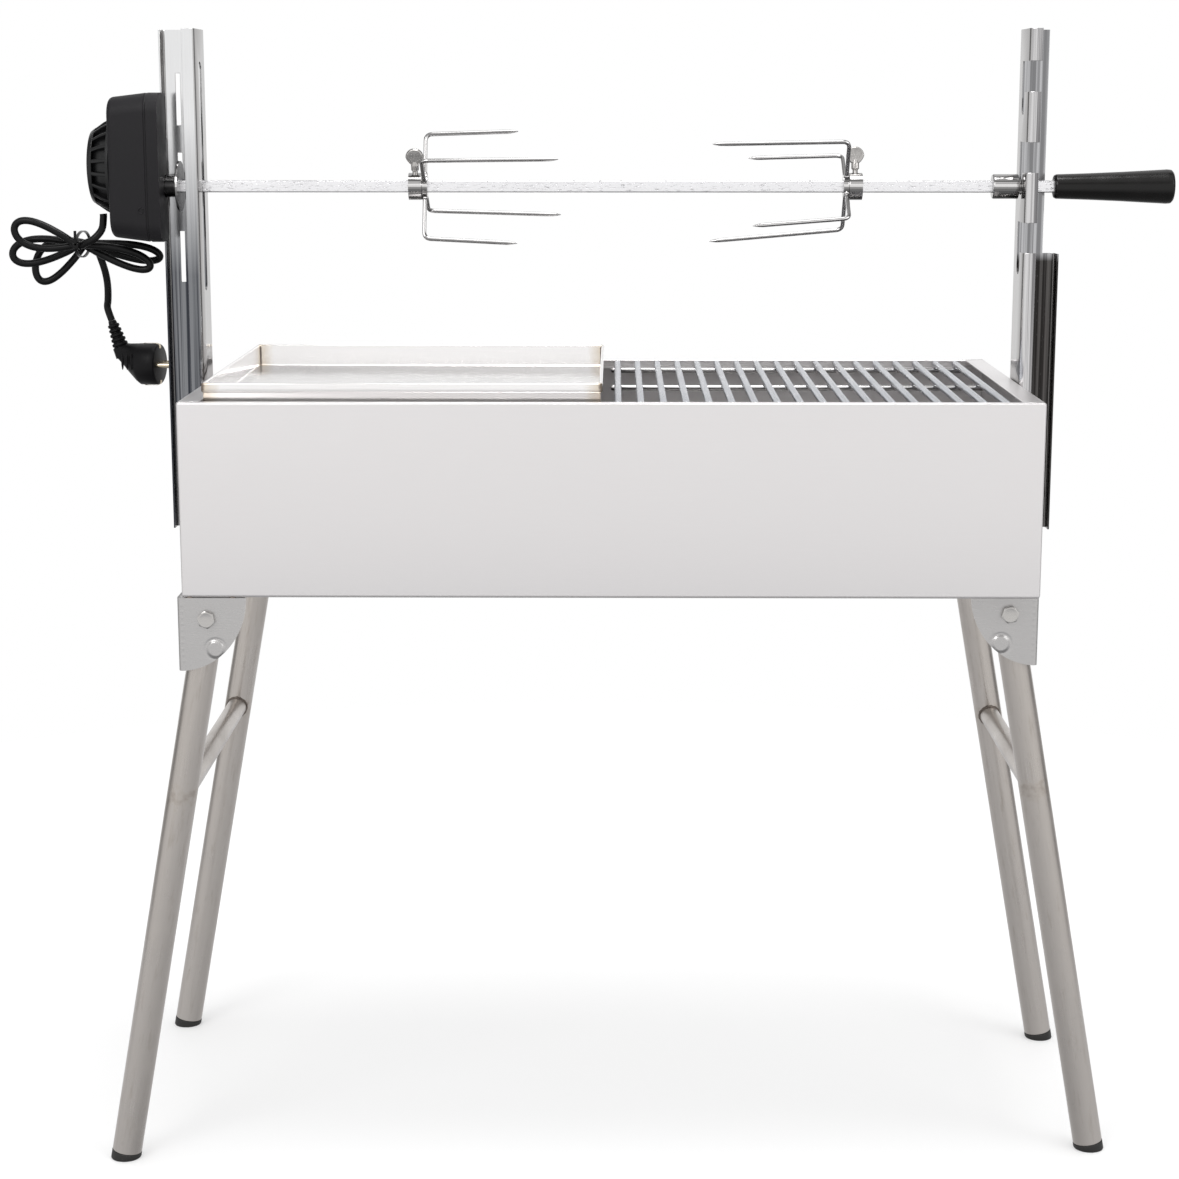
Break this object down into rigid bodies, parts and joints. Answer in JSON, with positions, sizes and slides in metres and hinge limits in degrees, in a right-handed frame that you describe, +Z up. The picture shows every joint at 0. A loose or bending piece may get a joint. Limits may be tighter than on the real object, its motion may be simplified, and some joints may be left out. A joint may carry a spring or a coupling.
{
  "type": "rotisserie spit roaster",
  "caption": "Charcoal trough on folding splayed legs, with a motor-driven square spit held between two end posts, two sliding forks, a lift-out grill grate and a shallow roasting pan.",
  "frame": {"origin": "on the floor, under the middle of the whole object", "axes": "+X along the spit from the motor to the handle, -Y towards the cook, +Z up"},
  "size_m": [1.0096, 0.3582, 0.952],
  "materials": {
    "brushed_steel": "satin brushed stainless sheet",
    "polished_steel": "polished stainless",
    "leg_steel": "brushed tube with heat tint at the welds",
    "spit_steel": "plain ground steel",
    "gear_steel": "plain geared motor body, hidden inside the housing",
    "black_plastic": "textured black moulding",
    "gloss_black": "glossy black handle",
    "black_rubber": "satin black rubber",
    "plug_brass": "plated plug pins"
  },
  "bodies": {
    "base": {"trough": "brushed_steel", "rail_front": "brushed_steel", "rail_rear": "brushed_steel", "coal_grate": "leg_steel", "motor_post": "polished_steel", "notched_post": "polished_steel", "post_bolt_lower_left": "spit_steel", "post_nut_lower_left": "spit_steel", "post_bolt_upper_left": "spit_steel", "post_nut_upper_left": "spit_steel", "post_bolt_lower_right": "spit_steel", "post_nut_lower_right": "spit_steel", "post_bolt_upper_right": "spit_steel", "post_nut_upper_right": "spit_steel", "motor_housing": "black_plastic", "motor_base": "black_plastic", "motor_vent_cap": "black_plastic", "gear_motor": "gear_steel", "motor_clip": "black_plastic", "power_cord": "black_rubber", "cable_tie": "black_rubber", "plug": "black_rubber", "plug_pin_1": "plug_brass", "plug_pin_2": "plug_brass", "bracket_front_left": "brushed_steel", "leg_bolt_front_left": "spit_steel", "leg_nut_front_left": "spit_steel", "bracket_rear_left": "brushed_steel", "leg_bolt_rear_left": "spit_steel", "leg_nut_rear_left": "spit_steel", "bracket_front_right": "brushed_steel", "leg_bolt_front_right": "spit_steel", "leg_nut_front_right": "spit_steel", "bracket_rear_right": "brushed_steel", "leg_bolt_rear_right": "spit_steel", "leg_nut_rear_right": "spit_steel"},
    "spit": {"spit_rod": "spit_steel", "spit_bushing": "polished_steel", "spit_handle": "gloss_black", "drive_socket": "spit_steel"},
    "fork_left": {"spit_fork_left": "polished_steel"},
    "fork_right": {"spit_fork_right": "polished_steel"},
    "screw_left": {"thumb_screw_left": "polished_steel"},
    "screw_right": {"thumb_screw_right": "polished_steel"},
    "legs_left": {"leg_front_left": "leg_steel", "leg_rear_left": "leg_steel", "foot_front_left": "black_rubber", "foot_rear_left": "black_rubber", "brace_left": "leg_steel"},
    "legs_right": {"leg_front_right": "leg_steel", "leg_rear_right": "leg_steel", "foot_front_right": "black_rubber", "foot_rear_right": "black_rubber", "brace_right": "leg_steel"},
    "pan": {"roasting_pan": "polished_steel"},
    "grate": {"grill_grate": "spit_steel"}
  },
  "joints": [
    {"name": "spit_turn", "type": "hinge", "parent": "base", "child": "spit", "pos_m": [0.02335, 0, 0.82], "axis": [1, 0, 0], "continuous": true},
    {"name": "fork_left_slide", "type": "slide", "parent": "spit", "child": "fork_left", "axis": [1, 0, 0], "range_m": [-0.14, 0.09]},
    {"name": "fork_right_slide", "type": "slide", "parent": "spit", "child": "fork_right", "axis": [1, 0, 0], "range_m": [-0.09, 0.1]},
    {"name": "thumb_screw_left_turn", "type": "hinge", "parent": "fork_left", "child": "screw_left", "pos_m": [-0.14465, 0, 0.82], "axis": [0, -0.342, 0.9397], "range_deg": [0, 450]},
    {"name": "thumb_screw_right_turn", "type": "hinge", "parent": "fork_right", "child": "screw_right", "pos_m": [0.23255, 0, 0.82], "axis": [0, 0.1908, 0.9816], "range_deg": [0, 450]},
    {"name": "legs_left_fold", "type": "hinge", "parent": "base", "child": "legs_left", "pos_m": [-0.30665, 0, 0.476], "axis": [0, -1, 0], "range_deg": [0, 98]},
    {"name": "legs_right_fold", "type": "hinge", "parent": "base", "child": "legs_right", "pos_m": [0.35335, 0, 0.476], "axis": [0, 1, 0], "range_deg": [0, 98]},
    {"name": "pan_lift", "type": "slide", "parent": "base", "child": "pan", "axis": [0, 0, 1], "range_m": [0, 0.08]},
    {"name": "grate_lift", "type": "slide", "parent": "base", "child": "grate", "axis": [0, 0, 1], "range_m": [0, 0.08]}
  ]
}
